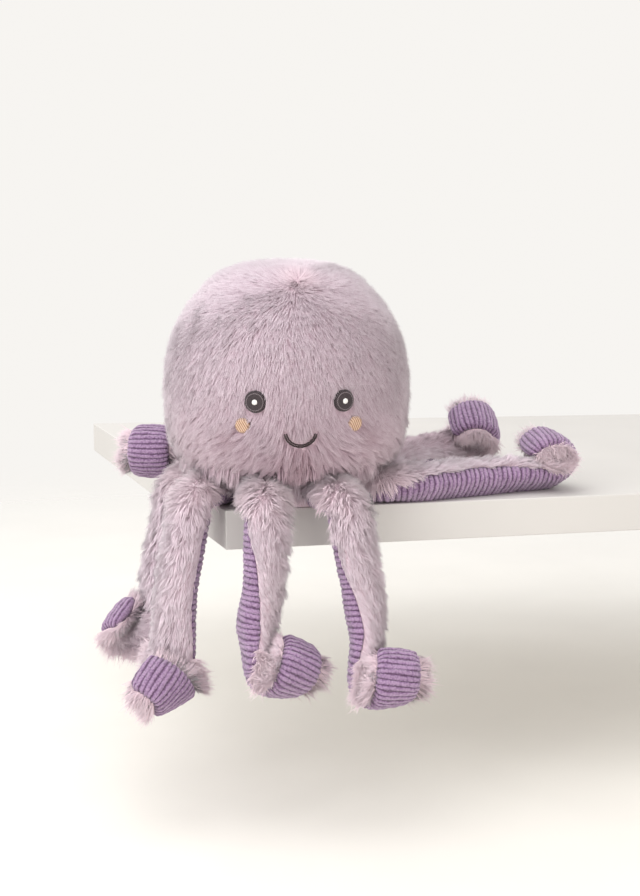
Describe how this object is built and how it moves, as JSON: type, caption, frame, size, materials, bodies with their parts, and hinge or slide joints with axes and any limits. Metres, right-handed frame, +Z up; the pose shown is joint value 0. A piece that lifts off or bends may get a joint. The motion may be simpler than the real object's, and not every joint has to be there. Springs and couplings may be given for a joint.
{
  "type": "plush octopus",
  "caption": "Stuffed soft toy octopus with a round pile-fabric head, an embroidered face and jointed, rolled-up tentacles of pile fabric and corduroy.",
  "frame": {"origin": "middle of the flat seat under the head, which is the face of seat_base", "axes": "+Z up through the crown; -Y is the way the face looks; +X is to the viewer's right of someone who looks at the face"},
  "size_m": [0.4805, 0.4894, 0.422],
  "materials": {
    "pile_fabric": "soft long pile",
    "corduroy_fabric": "wide-wale corduroy",
    "filling": "loose fibre",
    "eye_thread": "satin stitch",
    "highlight_thread": "satin stitch",
    "cheek_thread": "satin stitch",
    "smile_thread": "satin stitch"
  },
  "bodies": {
    "head": {"head_front_panel": "pile_fabric", "head_back_panel": "pile_fabric", "base_panel": "pile_fabric", "head_filling": "filling", "eye_left": "eye_thread", "eye_right": "eye_thread", "eye_highlight_left": "highlight_thread", "eye_highlight_right": "highlight_thread", "cheek_left": "cheek_thread", "cheek_right": "cheek_thread", "smile": "smile_thread"},
    "tentacle_front_left_root": {"tentacle_front_left_root_pile": "pile_fabric", "tentacle_front_left_root_corduroy": "corduroy_fabric", "tentacle_front_left_root_filling": "filling"},
    "tentacle_front_left_run": {"tentacle_front_left_run_pile": "pile_fabric", "tentacle_front_left_run_corduroy": "corduroy_fabric", "tentacle_front_left_run_filling": "filling"},
    "tentacle_front_right_root": {"tentacle_front_right_root_pile": "pile_fabric", "tentacle_front_right_root_corduroy": "corduroy_fabric", "tentacle_front_right_root_filling": "filling"},
    "tentacle_front_right_run": {"tentacle_front_right_run_pile": "pile_fabric", "tentacle_front_right_run_corduroy": "corduroy_fabric", "tentacle_front_right_run_filling": "filling"},
    "tentacle_right_front_root": {"tentacle_right_front_root_pile": "pile_fabric", "tentacle_right_front_root_corduroy": "corduroy_fabric", "tentacle_right_front_root_filling": "filling"},
    "tentacle_right_front_run": {"tentacle_right_front_run_pile": "pile_fabric", "tentacle_right_front_run_corduroy": "corduroy_fabric", "tentacle_right_front_run_filling": "filling"},
    "tentacle_right_back_root": {"tentacle_right_back_root_pile": "pile_fabric", "tentacle_right_back_root_corduroy": "corduroy_fabric", "tentacle_right_back_root_filling": "filling"},
    "tentacle_right_back_run": {"tentacle_right_back_run_pile": "pile_fabric", "tentacle_right_back_run_corduroy": "corduroy_fabric", "tentacle_right_back_run_filling": "filling"},
    "tentacle_back_right_root": {"tentacle_back_right_root_pile": "pile_fabric", "tentacle_back_right_root_corduroy": "corduroy_fabric", "tentacle_back_right_root_filling": "filling"},
    "tentacle_back_right_run": {"tentacle_back_right_run_pile": "pile_fabric", "tentacle_back_right_run_corduroy": "corduroy_fabric", "tentacle_back_right_run_filling": "filling"},
    "tentacle_back_left_root": {"tentacle_back_left_root_pile": "pile_fabric", "tentacle_back_left_root_corduroy": "corduroy_fabric", "tentacle_back_left_root_filling": "filling"},
    "tentacle_back_left_run": {"tentacle_back_left_run_pile": "pile_fabric", "tentacle_back_left_run_corduroy": "corduroy_fabric", "tentacle_back_left_run_filling": "filling"},
    "tentacle_left_back_root": {"tentacle_left_back_root_pile": "pile_fabric", "tentacle_left_back_root_corduroy": "corduroy_fabric", "tentacle_left_back_root_filling": "filling"},
    "tentacle_left_back_run": {"tentacle_left_back_run_pile": "pile_fabric", "tentacle_left_back_run_corduroy": "corduroy_fabric", "tentacle_left_back_run_filling": "filling"},
    "tentacle_left_front_root": {"tentacle_left_front_root_pile": "pile_fabric", "tentacle_left_front_root_corduroy": "corduroy_fabric", "tentacle_left_front_root_filling": "filling"},
    "tentacle_left_front_run": {"tentacle_left_front_run_pile": "pile_fabric", "tentacle_left_front_run_corduroy": "corduroy_fabric", "tentacle_left_front_run_filling": "filling"}
  },
  "joints": [
    {"name": "tentacle_front_left_swing", "type": "hinge", "parent": "head", "child": "tentacle_front_left_root", "pos_m": [-0.03061, -0.07391, 0.016], "axis": [0, 0, 1], "range_deg": [-10, 10]},
    {"name": "tentacle_front_left_lift", "type": "hinge", "parent": "tentacle_front_left_root", "child": "tentacle_front_left_run", "pos_m": [-0.0312, -0.0917, 0.0353], "axis": [-0.9995, 0.0329, 0], "range_deg": [0, 35]},
    {"name": "tentacle_front_right_swing", "type": "hinge", "parent": "head", "child": "tentacle_front_right_root", "pos_m": [0.03061, -0.07391, 0.016], "axis": [0, 0, 1], "range_deg": [-10, 10]},
    {"name": "tentacle_front_right_lift", "type": "hinge", "parent": "tentacle_front_right_root", "child": "tentacle_front_right_run", "pos_m": [0.0375, -0.0907, 0.0353], "axis": [-0.9252, -0.3794, 0], "range_deg": [0, 35]},
    {"name": "tentacle_right_front_swing", "type": "hinge", "parent": "head", "child": "tentacle_right_front_root", "pos_m": [0.07391, -0.03061, 0.016], "axis": [0, 0, 1], "range_deg": [-10, 10]},
    {"name": "tentacle_right_front_lift", "type": "hinge", "parent": "tentacle_right_front_root", "child": "tentacle_right_front_run", "pos_m": [0.0909, -0.0377, 0.0353], "axis": [-0.3849, -0.923, 0], "range_deg": [0, 35]},
    {"name": "tentacle_right_back_swing", "type": "hinge", "parent": "head", "child": "tentacle_right_back_root", "pos_m": [0.07391, 0.03061, 0.016], "axis": [0, 0, 1], "range_deg": [-10, 10]},
    {"name": "tentacle_right_back_lift", "type": "hinge", "parent": "tentacle_right_back_root", "child": "tentacle_right_back_run", "pos_m": [0.0907, 0.0375, 0.0353], "axis": [0.3794, -0.9252, 0], "range_deg": [0, 35]},
    {"name": "tentacle_back_right_swing", "type": "hinge", "parent": "head", "child": "tentacle_back_right_root", "pos_m": [0.03061, 0.07391, 0.016], "axis": [0, 0, 1], "range_deg": [-10, 10]},
    {"name": "tentacle_back_right_lift", "type": "hinge", "parent": "tentacle_back_right_root", "child": "tentacle_back_right_run", "pos_m": [0.0372, 0.0909, 0.0353], "axis": [0.9324, -0.3614, 0], "range_deg": [0, 35]},
    {"name": "tentacle_back_left_swing", "type": "hinge", "parent": "head", "child": "tentacle_back_left_root", "pos_m": [-0.03061, 0.07391, 0.016], "axis": [0, 0, 1], "range_deg": [-10, 10]},
    {"name": "tentacle_back_left_lift", "type": "hinge", "parent": "tentacle_back_left_root", "child": "tentacle_back_left_run", "pos_m": [-0.0375, 0.0907, 0.0353], "axis": [0.9252, 0.3794, 0], "range_deg": [0, 35]},
    {"name": "tentacle_left_back_swing", "type": "hinge", "parent": "head", "child": "tentacle_left_back_root", "pos_m": [-0.07391, 0.03061, 0.016], "axis": [0, 0, 1], "range_deg": [-10, 10]},
    {"name": "tentacle_left_back_lift", "type": "hinge", "parent": "tentacle_left_back_root", "child": "tentacle_left_back_run", "pos_m": [-0.0889, 0.0369, 0.0353], "axis": [0.3867, 0.9222, 0], "range_deg": [0, 35]},
    {"name": "tentacle_left_front_swing", "type": "hinge", "parent": "head", "child": "tentacle_left_front_root", "pos_m": [-0.07391, -0.03061, 0.016], "axis": [0, 0, 1], "range_deg": [-10, 10]},
    {"name": "tentacle_left_front_lift", "type": "hinge", "parent": "tentacle_left_front_root", "child": "tentacle_left_front_run", "pos_m": [-0.0855, -0.0442, 0.0353], "axis": [-0.7608, 0.649, 0], "range_deg": [0, 35]}
  ]
}
